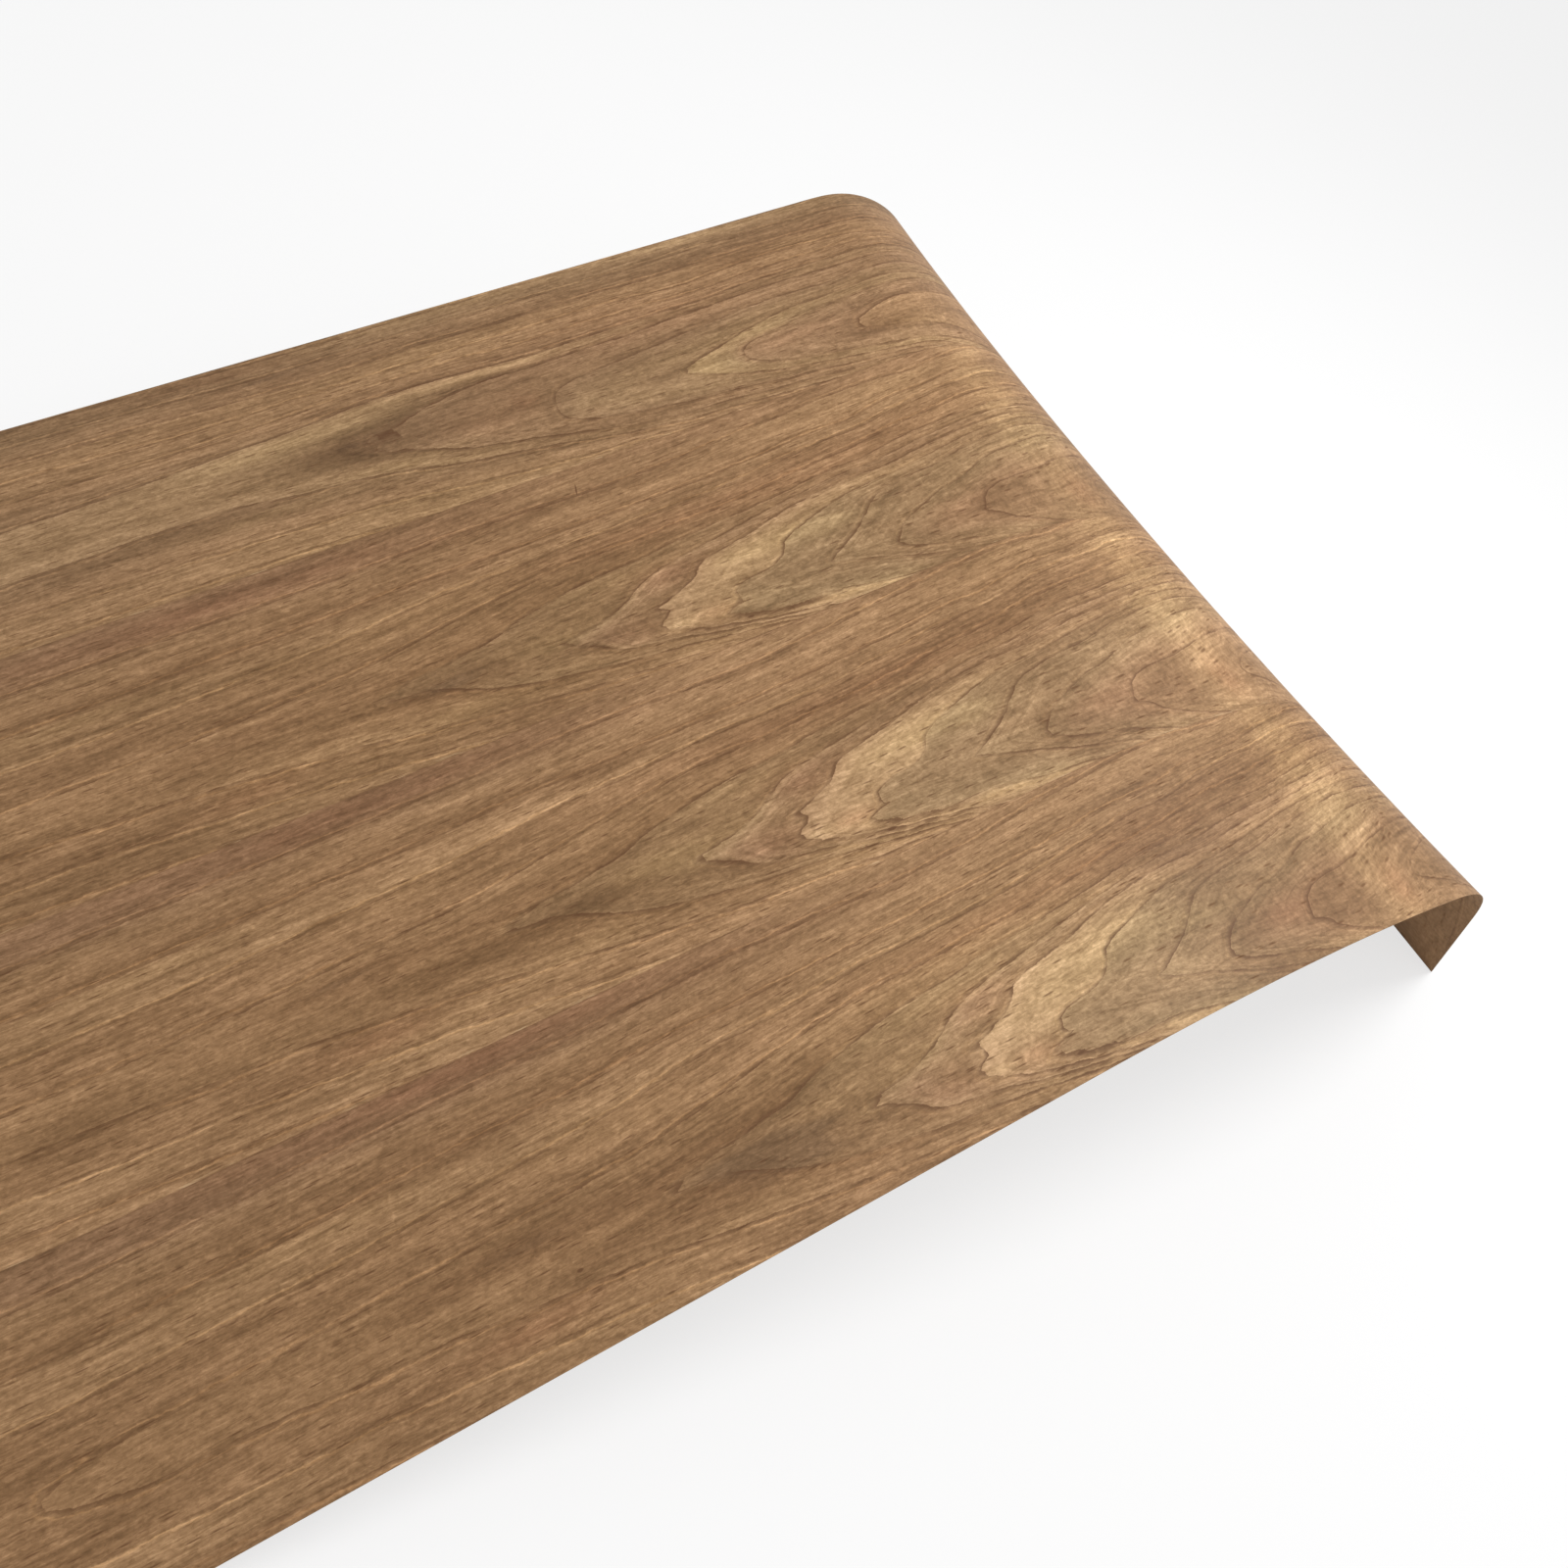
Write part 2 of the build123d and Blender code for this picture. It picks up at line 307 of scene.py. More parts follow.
# Soft tints, each spot as its middle, its half lengths along and across, and how much of it
flameTints = {
    # the honey spots at 2.08 and 2.06 along are a painted sheen on the bend, where the sheet turns down
    # towards its standing end
    "honey": [(2.08, 0.35, 0.11, 0.8, 1.1), (-0.2, 0.065, 0.05, 0.012, 0.9),
        (0.23, -0.03, 0.05, 0.022, 0.9), (0.6, 0.17, 0.14, 0.05, 0.8), (0.8, 0.2, 0.12, 0.04, 0.7),
        (0.98, 0.17, 0.06, 0.03, 0.7), (-0.9, -0.08, 0.3, 0.05, 0.5), (-0.6, -0.04, 0.12, 0.03, 0.4),
        (0.3, -0.15, 0.2, 0.03, 0.5), (0.8, -0.17, 0.25, 0.03, 0.8), (1.1, -0.19, 0.12, 0.02, 0.7),
        (1.75, -0.17, 0.16, 0.03, 0.5), (2.06, 0.36, 0.18, 0.12, 0.5), (0.4, 0.76, 0.5, 0.03, 0.6),
        (1.6, 0.72, 0.5, 0.08, 0.4), (0.1, 0.13, 0.18, 0.05, 0.5), (0.1, 0.26, 0.25, 0.035, 0.5),
        (0.95, 0.165, 0.17, 0.035, 0.9), (-0.95, 0.37, 0.35, 0.05, 0.35), (-1.75, 0.48, 0.3, 0.02, 0.7),
        (-0.28, 0.13, 0.12, 0.04, 0.35)],
    "smoke": [(-0.66, 0.105, 0.12, 0.02, 0.6), (-0.53, 0.085, 0.15, 0.028, 1.3),
        (-0.43, 0.045, 0.08, 0.03, 0.5), (0.7, 0.015, 0.16, 0.025, 0.5), (0.5, -0.09, 0.12, 0.03, 0.25),
        (1.4, 0.25, 0.24, 0.45, 0.35), (1.3, 0.19, 0.12, 0.03, 0.8), (1.25, 0.03, 0.1, 0.03, 0.6),
        (1.1, 0.1, 0.08, 0.03, 0.6), (1.33, -0.17, 0.12, 0.03, 0.6), (1.3, -0.04, 0.08, 0.03, 0.4),
        (-1.4, 0.17, 0.22, 0.035, 0.6), (-1.3, 0.65, 0.3, 0.05, 0.5), (-1.0, 0.53, 0.4, 0.03, 0.5),
        (-1.08, 0.05, 0.06, 0.012, 0.9), (-0.06, 0.0, 0.04, 0.03, 0.9), (0.6, 0.45, 0.5, 0.03, 0.3),
        (0.3, 0.545, 0.8, 0.016, 0.8), (-0.3, 0.69, 0.32, 0.03, 0.7), (-0.38, 0.53, 0.25, 0.04, 0.7),
        (-1.4, 0.17, 0.5, 0.03, 0.6), (-0.1, 0.04, 0.14, 0.02, 0.6), (-1.75, -0.1, 0.25, 0.05, 0.9),
        (-1.0, 0.2, 0.5, 0.015, 0.8), (0.0, 0.7, 0.5, 0.012, 0.7), (0.55, 0.56, 0.14, 0.015, 0.6),
        (-1.45, 0.5, 0.25, 0.03, 0.6), (1.75, -0.02, 0.15, 0.08, 0.6), (1.88, 0.35, 0.08, 0.8, 0.3),
        (0.35, 0.675, 0.35, 0.012, 0.9), (1.05, 0.715, 0.3, 0.012, 0.9)],
    # the blush spot at 2.12 along is painted shade: the darker red-brown where the bend turns away from the
    # light
    "blush": [(0.3, 0.2, 0.12, 0.05, 0.8), (0.08, 0.01, 0.12, 0.05, 0.6), (0.38, -0.03, 0.08, 0.03, 0.9),
        (-1.35, -0.04, 0.16, 0.03, 0.7), (1.5, 0.01, 0.12, 0.04, 0.7), (2.12, -0.05, 0.07, 0.08, 1.0),
        (0.3, 0.42, 0.4, 0.04, 0.4), (-1.2, 0.76, 0.6, 0.04, 0.8), (1.0, 0.44, 0.4, 0.05, 0.4)],
}
wideTints = {
    "honey": [(-0.7, 0.38, 0.3, 0.05, 0.5), (0.1, 0.465, 0.4, 0.012, 0.7), (0.47, 0.13, 0.08, 0.05, 0.35),
        (0.05, 0.63, 0.3, 0.05, 0.5), (1.05, 0.13, 0.1, 0.05, 0.8), (-0.3, -0.08, 0.5, 0.06, 0.6),
        (2.0, 0.0, 0.15, 0.08, 0.7), (1.2, 0.88, 0.8, 0.02, 0.9), (0.05, 0.87, 0.4, 0.03, 0.4),
        (-0.75, 0.09, 0.25, 0.02, 1.0), (-0.1, 0.135, 0.15, 0.015, 0.7), (0.3, 0.465, 0.4, 0.012, 0.6),
        (1.35, 0.235, 0.16, 0.025, 0.8), (-0.25, -0.145, 0.5, 0.02, 0.6)],
    "smoke": [(-0.42, 0.285, 0.13, 0.05, 1.2), (-0.5, 0.31, 0.15, 0.03, 0.7),
        (0.0, 0.43, 0.15, 0.03, 0.7), (0.0, 0.33, 0.25, 0.05, 0.35), (0.3, 0.38, 0.2, 0.03, 0.4),
        (0.75, 0.2, 0.15, 0.08, 0.4), (1.1, 0.12, 0.1, 0.05, 0.4), (-0.6, 0.75, 0.3, 0.06, 0.6),
        (0.5, 0.72, 0.3, 0.05, 0.5), (1.7, 0.76, 0.3, 0.05, 0.7), (-0.15, 0.16, 0.08, 0.03, 0.4),
        (0.4, 0.2, 0.03, 0.05, 0.6), (-0.6, 0.765, 0.5, 0.03, 0.9), (0.2, 0.775, 0.5, 0.02, 0.6),
        (0.0, 0.5, 0.6, 0.018, 0.9), (0.6, 0.41, 0.6, 0.016, 0.6), (0.3, 0.025, 0.3, 0.02, 0.5),
        (1.0, 0.14, 0.15, 0.02, 0.8), (1.5, 0.675, 0.2, 0.03, 0.7), (1.9, 0.055, 0.2, 0.06, 1.0),
        (-1.0, 0.635, 0.12, 0.05, 0.6)],
    "blush": [(0.1, 0.2, 0.15, 0.08, 0.4), (0.27, 0.25, 0.05, 0.04, 0.7), (1.4, 0.15, 0.2, 0.04, 0.4),
        (0.9, 0.5, 0.6, 0.12, 0.4), (-0.8, 0.85, 0.4, 0.04, 0.5)],
}
# what one leaf alone shows, near leaf first
ownTints = (
    # the near leaf's first honey spot is painted light: a lighter wash over its rising part, standing in for
    # light falling there
    {"honey": [(0.45, 0.3, 0.55, 0.24, 0.75), (0.1, 0.03, 0.14, 0.04, 0.4), (0.25, 0.14, 0.2, 0.03, 0.4),
        (0.55, 0.33, 0.3, 0.06, 0.3), (0.95, 0.16, 0.12, 0.03, 0.9), (1.15, 0.11, 0.14, 0.025, 0.9),
        (2.0, 0.12, 0.08, 0.08, 0.8)],
     "smoke": [(-0.5, 0.01, 0.55, 0.12, 0.75), (-0.9, 0.16, 0.3, 0.03, 0.4),
        (-0.45, 0.62, 0.45, 0.1, 0.3), (1.45, 0.4, 0.28, 0.22, 0.6), (1.55, -0.02, 0.25, 0.1, 0.5),
        (-1.6, 0.52, 0.4, 0.12, 0.4), (1.3, 0.45, 0.4, 0.22, 0.3), (-0.25, -0.02, 0.25, 0.1, 0.3),
        (1.82, 0.03, 0.1, 0.12, 0.45), (-0.6, 0.09, 0.24, 0.07, 1.1), (0.58, -0.055, 0.22, 0.02, 1.0)]},
    {"honey": [(-0.25, 0.1, 0.2, 0.04, 0.7), (0.35, -0.08, 0.15, 0.05, 0.6)],
     "smoke": [(1.65, -0.05, 0.35, 0.1, 0.5), (-1.55, 0.46, 0.35, 0.03, 0.45),
        (1.32, 0.14, 0.3, 0.05, 0.4), (0.27, 0.09, 0.09, 0.035, 0.8), (0.62, 0.19, 0.18, 0.03, 0.5),
        (1.0, 0.05, 0.2, 0.015, 0.8)]},
    {"honey": [(-0.4, 0.42, 0.4, 0.05, 0.4), (-1.2, -0.01, 0.3, 0.05, 0.45),
        (0.35, -0.03, 0.3, 0.04, 0.5), (1.35, 0.29, 0.2, 0.04, 0.5), (-0.3, -0.06, 0.3, 0.05, 0.35),
        (-0.2, 0.09, 0.12, 0.02, 0.8)],
     "smoke": [(0.6, 0.22, 0.15, 0.04, 0.5), (-1.2, 0.25, 0.25, 0.015, 0.5),
        (-0.62, 0.09, 0.16, 0.04, 0.8), (1.4, 0.49, 0.35, 0.02, 0.7), (2.0, 0.76, 0.1, 0.03, 0.8)]},
    {"honey": [(-0.45, 0.4, 0.4, 0.05, 0.7), (-0.3, 0.13, 0.25, 0.04, 0.5),
        (-0.1, 0.05, 0.25, 0.02, 0.8)],
     "smoke": [(1.5, 0.68, 0.3, 0.04, 0.5), (2.0, 0.73, 0.15, 0.06, 0.5), (2.05, 0.48, 0.1, 0.1, 0.4),
        (0.5, 0.09, 0.08, 0.02, 0.9), (-0.42, 0.17, 0.15, 0.015, 0.9)]},
)
# where a ring's dark line is at its strongest
flameInk = [(-0.45, 0.19, 0.12, 0.03, 0.9), (-0.55, 0.045, 0.12, 0.04, 0.8),
    (-0.06, 0.0, 0.05, 0.03, 0.9), (0.24, 0.06, 0.09, 0.05, 0.6), (0.43, 0.17, 0.05, 0.04, 0.7),
    (0.48, -0.124, 0.03, 0.015, 1.5), (0.55, -0.13, 0.15, 0.03, 0.5), (0.62, -0.05, 0.14, 0.05, 0.6),
    (1.1, 0.11, 0.12, 0.07, 0.7), (1.27, -0.05, 0.1, 0.07, 0.7), (1.65, -0.05, 0.12, 0.08, 0.7),
    (0.83, 0.17, 0.06, 0.03, 0.6), (0.1, 0.13, 0.12, 0.03, 0.3), (0.3, 0.485, 0.6, 0.015, 0.6),
    (1.3, 0.56, 0.3, 0.02, 0.6), (0.0, 0.705, 0.3, 0.015, 0.7), (1.2, 0.76, 0.3, 0.015, 0.5),
    (0.0, 0.3, 0.1, 0.02, 0.4)]
wideInk = [(-0.2, 0.34, 0.2, 0.03, 0.8), (-0.05, 0.11, 0.25, 0.05, 0.6), (0.0, 0.495, 0.6, 0.02, 0.6),
    (1.85, 0.13, 0.15, 0.06, 0.9), (1.15, 0.21, 0.15, 0.03, 0.4), (0.3, 0.42, 0.5, 0.015, 0.5),
    (0.38, 0.01, 0.1, 0.03, 0.5), (1.0, 0.45, 0.5, 0.02, 0.5), (0.3, 0.72, 0.5, 0.03, 0.4)]


def plateKernel(squared):
    # distance squared times its logarithm; the small number keeps it from the logarithm of nothing
    return 0.5 * squared * np.log(squared + 1e-12)


def ringField(rings):
    # a smooth age through every drawn ring, as a thin springy plate would bend
    points = [(x * figureMake["stiffness"], y, age)
              for age, arms in rings.items() for arm in arms for x, y in arm]
    places, ages = np.array(points)[:, :2], np.array(points)[:, 2]
    count = len(places)
    apart = ((places[:, None] - places[None]) ** 2).sum(-1)
    plane = np.c_[np.ones(count), places]
    system = np.block([[plateKernel(apart) + figureMake["ease"] * np.eye(count), plane],
                       [plane.T, np.zeros((3, 3))]])
    weights = np.linalg.solve(system, np.concatenate((ages, np.zeros(3))))

    def age(alongGrain, acrossGrain):
        spots = np.c_[np.ravel(alongGrain) * figureMake["stiffness"], np.ravel(acrossGrain)]
        found = []
        for part in np.array_split(spots, max(1, len(spots) // figureMake["atOnce"])):
            squared = ((part[:, None] - places[None]) ** 2).sum(-1)
            found.append(plateKernel(squared) @ weights[:-3] + weights[-3] + part @ weights[-2:])
        return np.concatenate(found).reshape(np.shape(alongGrain))
    return age


def softSpots(spots, alongGrain, acrossGrain):
    # how much of a tint or of the ink its spots leave at each place
    total = np.zeros(np.shape(alongGrain))
    for middleAlong, middleAcross, halfLength, halfWidth, amount in spots:
        reach = ((alongGrain - middleAlong) / halfLength) ** 2
        reach += ((acrossGrain - middleAcross) / halfWidth) ** 2
        total += amount * np.exp(-figureMake["spotFall"] * reach)
    return total


flameFigure = (ringField(flameRings), flameTints, flameInk)
wideFigure = (ringField(wideRings), wideTints, wideInk)
leafRows = np.concatenate(([0], np.cumsum(sheetMake["rowsPerLeaf"])))


def leafFigure(leaf):
    # fibre, rings and tints of one leaf, at each of its mesh points
    rows, width = across[leafRows[leaf]:leafRows[leaf + 1] + 1], figureMake["leafWidth"]
    alongLeaf, acrossLeaf = np.meshgrid((along - figureMake["hookAlong"]) / width,
                                        rows / width + figureMake["nearEdge"])
    alongLeaf, acrossLeaf = alongLeaf - figureMake["slips"][leaf], acrossLeaf - leaf
    readAge, tints, ink = wideFigure if leaf == farLeaf else flameFigure
    ages = readAge(alongLeaf, acrossLeaf)
    slope = np.hypot(np.gradient(ages, along, axis=1), np.gradient(ages, rows, axis=0))
    # its rings also give how many there are to the millimetre, and how strong their lines are
    rings = (ages, slope * millimetre, softSpots(ink, alongLeaf, acrossLeaf))
    # the fibre fans out a little round the flames, so its lines spread towards the standing end
    upperFan, lowerFan = figureMake["fans"][leaf]
    middle = acrossLeaf - figureMake["fanMiddle"]
    fan = np.where(middle > 0, upperFan, lowerFan) * np.tanh(middle / figureMake["fanSoftness"])
    fan *= np.maximum(alongLeaf - figureMake["fanStart"], 0.0)
    climb = np.clip((alongLeaf - figureMake["riseStart"]) / figureMake["riseLength"], 0, 1) ** 2
    fibre = (acrossLeaf - fan - figureMake["rise"] * climb) * width
    tints = [softSpots(tints[kind] + ownTints[leaf].get(kind, []), alongLeaf, acrossLeaf)
             for kind in ("honey", "smoke", "blush")]
    print("leaf", leaf + 1, "rings from %.1f to %.1f" % (ages.min(), ages.max()))
    return fibre, np.stack(rings, axis=-1), np.stack(tints, axis=-1)


leafFibre, leafRings, leafTints = zip(*[leafFigure(leaf) for leaf in range(leafCount)])

# The sheet's mesh
layoutMake = {
    # the laid-out map for baking, in shares of its own size
    "margin": 0.004,            # bare rim
    "strip": 0.0012,            # width of each strip of cut edge
    "nearEdge": 0.0005,         # places of the strips
    "farEdge": 0.9980,
    "endEdges": 0.4990,
}


def veneerSheet():
    # both faces and the cut rim between them; each corner carries its place in the figure
    margin, length, width = layoutMake["margin"], sheetMake["length"], sheetMake["width"]
    top, back, rim = 0, 1, 2
    faces, slots, layout = [], [], []
    carried = {"grainPlace": [], "leafPlace": [], "ringMap": [], "tintMap": []}

    def addFace(points, leaf, slot, flat):
        # points give the row, the column and the side, top or back, of each corner
        faces.append([(side * rowCount + row) * columnCount + column for row, column, side in points])
        slots.append(slot)
        layout.extend(flat)
        for row, column, side in points:
            inLeaf = row - leafRows[leaf]
            apart = leaf * figureMake["leafApart"] + slot * figureMake["faceApart"]
            carried["grainPlace"].append((along[column], leafFibre[leaf][inLeaf, column], apart))
            carried["leafPlace"].append((across[row] - leafEdges[leaf], leafEdges[leaf + 1] - across[row],
                                         leaf))
            carried["ringMap"].append(leafRings[leaf][inLeaf, column])
            carried["tintMap"].append(leafTints[leaf][inLeaf, column])

    def addRim(first, second, leaf, start, stop, strip):
        edge = strip + layoutMake["strip"]
        addFace([(*first, back), (*second, back), (*second, top), (*first, top)], leaf, rim,
                [(start, strip), (stop, strip), (stop, edge), (start, edge)])

    for leaf in range(leafCount):
        for row in range(leafRows[leaf], leafRows[leaf + 1]):
            for column in range(columnCount - 1):
                ring = ((row, column), (row, column + 1), (row + 1, column + 1), (row + 1, column))
                for side, start in ((top, 0.5 + margin), (back, margin)):
                    flat = [(margin + (1 - 2 * margin) * along[c] / length,
                             start + (0.5 - 2 * margin) * across[r] / width) for r, c in ring]
                    addFace([(r, c, side) for r, c in ring], leaf, side, flat)
                    ring = ring[::-1]
    lastRow, lastColumn = rowCount - 1, columnCount - 1
    for column in range(lastColumn):
        start, stop = along[column] / length, along[column + 1] / length
        addRim((0, column), (0, column + 1), 0, start, stop, layoutMake["nearEdge"])
        addRim((lastRow, column + 1), (lastRow, column), farLeaf, stop, start, layoutMake["farEdge"])
    for leaf in range(leafCount):
        for row in range(leafRows[leaf], leafRows[leaf + 1]):
            start, stop = 0.5 * across[row] / width, 0.5 * across[row + 1] / width
            addRim((row + 1, 0), (row, 0), leaf, stop, start, layoutMake["endEdges"])
            addRim((row, lastColumn), (row + 1, lastColumn), leaf, 0.5 + start, 0.5 + stop,
                   layoutMake["endEdges"])

    mesh = bpy.data.meshes.new("veneerSheetMesh")
    vertices = np.concatenate((topGrid.reshape(-1, 3), backGrid.reshape(-1, 3)))
    mesh.from_pydata(vertices.tolist(), [], faces)
    mesh.polygons.foreach_set("material_index", slots)
    mesh.polygons.foreach_set("use_smooth", [slot != rim for slot in slots])
    flatMap = mesh.uv_layers.new(name="OFBake")
    flatMap.data.foreach_set("uv", np.array(layout, dtype=np.float32).ravel())
    for name, values in carried.items():
        layer = mesh.attributes.new(name, "FLOAT_VECTOR", "CORNER")
        layer.data.foreach_set("vector", np.array(values, dtype=np.float32).ravel())
    # the cut rim stays crisp against both faces
    rimEdges = {frozenset(pair) for face, slot in zip(faces, slots) if slot == rim
                for pair in zip(face, face[1:] + face[:1])}
    sharp = mesh.attributes.new("sharp_edge", "BOOLEAN", "EDGE")
    sharp.data.foreach_set("value", [frozenset(edge.vertices) in rimEdges for edge in mesh.edges])
    mesh.update()
    return placed("veneerSheet", mesh)


sheetPiece = veneerSheet()
print("sheet meshed:", len(sheetPiece.data.polygons), "faces")


# Node helpers
class Wiring:
    # places nodes in a tree and joins them, so that the finishes below read line by line;
    # where sockets share a name they go by number, as a colour mix's do: 6 and 7 in, 2 out
    def __init__(self, tree):
        self.tree = tree

    def feed(self, socket, value):
        if isinstance(value, bpy.types.NodeSocket):
            self.tree.links.new(value, socket)
        else:
            socket.default_value = value

    def node(self, kind, inputs=None, **settings):
        made = self.tree.nodes.new(kind)
        for name, value in settings.items():
            setattr(made, name, value)
        for name, value in (inputs or {}).items():
            self.feed(made.inputs[name], value)
        return made

    def math(self, operation, *values, clamp=False):
        inputs = dict(enumerate(values))
        return self.node("ShaderNodeMath", inputs, operation=operation, use_clamp=clamp).outputs[0]

    def times(self, one, two, clamp=False):
        return self.math("MULTIPLY", one, two, clamp=clamp)

    def plus(self, one, two):
        return self.math("ADD", one, two)

    def minus(self, one, two):
        return self.math("SUBTRACT", one, two)

    def over(self, one, two):
        return self.math("DIVIDE", one, two)

    def swing(self, mask, amount):
        # how far a mask is from its middle
        return self.times(self.minus(mask, 0.5), amount)

    def ramp(self, value, low, high, toLow=0.0, toHigh=1.0, smooth=True):
        inputs = {"Value": value, "From Min": low, "From Max": high, "To Min": toLow, "To Max": toHigh}
        kind = "SMOOTHSTEP" if smooth else "LINEAR"
        return self.node("ShaderNodeMapRange", inputs, interpolation_type=kind).outputs["Result"]

    def blend(self, mode, factor, one, two):
        inputs = {0: factor, 6: one, 7: two}
        return self.node("ShaderNodeMix", inputs, data_type="RGBA", blend_type=mode).outputs[2]

    def split(self, vector):
        return tuple(self.node("ShaderNodeSeparateXYZ", {"Vector": vector}).outputs)

    def join(self, x, y, z):
        return self.node("ShaderNodeCombineXYZ", {"X": x, "Y": y, "Z": z}).outputs[0]

    def noise(self, place, detail=2.0, roughness=0.5, distortion=0.0):
        inputs = {"Vector": place, "Scale": 1.0, "Detail": detail, "Roughness": roughness,
                  "Distortion": distortion}
        return self.node("ShaderNodeTexNoise", inputs).outputs["Fac"]

    def grain(self, place, turns, *shape):
        # noise with so many turns to the metre along and across the grain
        stretched = self.node("ShaderNodeVectorMath", {0: place, 1: (*turns, 1.0)}, operation="MULTIPLY")
        return self.noise(stretched.outputs[0], *shape)


def nodeGroup(name, places, values, results):
    # an empty group: the vectors and the usual values that it takes, and what it puts out
    tree = bpy.data.node_groups.new(name, "ShaderNodeTree")
    for label in places:
        tree.interface.new_socket(name=label, in_out="INPUT", socket_type="NodeSocketVector")
    for label, usual in values.items():
        socket = tree.interface.new_socket(name=label, in_out="INPUT", socket_type="NodeSocketFloat")
        socket.default_value = usual
    for label in results:
        kind = "NodeSocketColor" if label == "Color" else "NodeSocketFloat"
        tree.interface.new_socket(name=label, in_out="OUTPUT", socket_type=kind)
    wires = Wiring(tree)
    return wires, wires.node("NodeGroupInput").outputs, wires.node("NodeGroupOutput").inputs


# Floor, light and camera
stageMake = {
    "floorSize": 14.0,
    "floorTone": (0.95, 0.95, 0.95, 1.0),
    "floorGlow": 0.7,           # how far the camera sees the floor as plain white
    "floorRoughness": 0.9,
    "floorShine": 0.1,
    "worldStrength": 0.585,
    "lampPlace": (0.80, -0.22, 1.32),
    "lampAim": (0.30, -0.05, 0.12),
    "lampSize": 0.6,
    "lampPower": 12.0,
}
cameraMake = {
    "place": (-0.37277, -0.44831, 0.70955),
    "aim": (0.11751, -0.09262, 0.10000),
    "roll": 28.835,             # degrees from level
    "lens": 38.153,
    "sensor": 36.0,
    "clip": (0.01, 50.0),
}
white = (1.0, 1.0, 1.0, 1.0)


def plainMaterial(name):
    material = bpy.data.materials.new(name)
    material.use_nodes = True
    material.node_tree.nodes.clear()
    return material, Wiring(material.node_tree)


def directRays(wires):
    # what the camera sees straight, in a shine or through glass
    seen = wires.node("ShaderNodeLightPath").outputs
    return wires.math("MAXIMUM", wires.math("MAXIMUM", seen["Is Camera Ray"], seen["Is Glossy Ray"]),
                      seen["Is Transmission Ray"])


def setFloor():
    half = stageMake["floorSize"] / 2
    mesh = bpy.data.meshes.new("floorMesh")
    corners = [(-half, -half, 0), (half, -half, 0), (half, half, 0), (-half, half, 0)]
    mesh.from_pydata(corners, [], [(0, 1, 2, 3)])
    floor = placed("floor", mesh)
    material, wires = plainMaterial("paleFloor")
    shader = wires.node("ShaderNodeBsdfPrincipled", {"Base Color": stageMake["floorTone"],
                                                     "Roughness": stageMake["floorRoughness"],
                                                     "Specular IOR Level": stageMake["floorShine"]})
    glow = wires.node("ShaderNodeEmission", {"Color": white, "Strength": 1.0})
    share = wires.times(directRays(wires), stageMake["floorGlow"])
    mix = wires.node("ShaderNodeMixShader", {0: share, 1: shader.outputs[0], 2: glow.outputs[0]})
    wires.node("ShaderNodeOutputMaterial", {"Surface": mix.outputs[0]})
    mesh.materials.append(material)


def setLight():
    world = bpy.data.worlds.new("softRoom")
    bpy.context.scene.world = world
    world.use_nodes = True
    world.node_tree.nodes.clear()
    wires = Wiring(world.node_tree)
    strength = wires.ramp(directRays(wires), 0.0, 1.0, stageMake["worldStrength"], 1.0, smooth=False)
    background = wires.node("ShaderNodeBackground", {"Color": white, "Strength": strength})
    wires.node("ShaderNodeOutputWorld", {"Surface": background.outputs[0]})

    lamp = bpy.data.lights.new("windowLamp", "AREA")
    lamp.shape = "DISK"
    lamp.size = stageMake["lampSize"]
    lamp.energy = stageMake["lampPower"]
    lampObject = placed("windowLamp", lamp)
    lampObject.location = stageMake["lampPlace"]
    toward = Vector(stageMake["lampAim"]) - lampObject.location
    lampObject.rotation_euler = toward.to_track_quat("-Z", "Y").to_euler()


def setCamera():
    camera = bpy.data.cameras.new("photoCamera")
    camera.lens = cameraMake["lens"]
    camera.sensor_width = cameraMake["sensor"]
    camera.clip_start, camera.clip_end = cameraMake["clip"]
    cameraObject = placed("photoCamera", camera)
    place, aim = Vector(cameraMake["place"]), Vector(cameraMake["aim"])
    ahead = (aim - place).normalized()
    level = ahead.cross(Vector((0, 0, 1))).normalized()
    over = level.cross(ahead)
    roll = math.radians(cameraMake["roll"])
    side = level * math.cos(roll) + over * math.sin(roll)
    above = side.cross(ahead)
    turn = Matrix((side, above, -ahead)).transposed()
    cameraObject.matrix_world = Matrix.Translation(place) @ turn.to_4x4()
    bpy.context.scene.camera = cameraObject


setFloor()
setLight()
setCamera()
bpy.context.scene.view_settings.view_transform = "Standard"
print("stage and camera set")

# What the finishes share: turns are to the metre, along and across the grain, and a ramp has
# its two ends and what it gives at each, or runs from 0 to 1
fibreMake = {
    # slow and quick swing of the fibre to the side: turns, detail, and metres of it
    "swings": (((6.0, 16.0), 1.0, 0.008), ((70.0, 60.0), 2.0, 0.0022)),
    # turns along, turns across, and detail
    "bands": {"Belt": (2.2, 42.0, 1.0), "Streak": (9.0, 110.0, 4.0),
              "Fine Line": (32.0, 420.0, 3.0), "Hair": (75.0, 1300.0, 2.0)},
    "roughness": 0.6,
}


def fibreStreaksGroup():
    # light and dark fibre running with the grain, from broad bands to single hairs
    wires, given, out = nodeGroup("fibreStreaks", ["Place"], {}, fibreMake["bands"])
    x, y, z = wires.split(given["Place"])
    for turns, detail, reach in fibreMake["swings"]:
        y = wires.plus(y, wires.swing(wires.grain(given["Place"], turns, detail), reach))
    for name, (alongTurns, acrossTurns, detail) in fibreMake["bands"].items():
        place = wires.join(wires.times(x, alongTurns), wires.times(y, acrossTurns), z)
        wires.feed(out[name], wires.noise(place, detail, fibreMake["roughness"]))
    return wires.tree


poreMake = {
    "usual": {"Length": 0.016, "Width": 0.0018, "Plenty": 0.5},      # metres, and a share of all cells
    "belts": (12.0, 110.0),
    "plentyRamp": (0.35, 0.62, 0.25, 1.5),
    "ovalRamp": (0.08, 0.30, 1.0, 0.0),
}


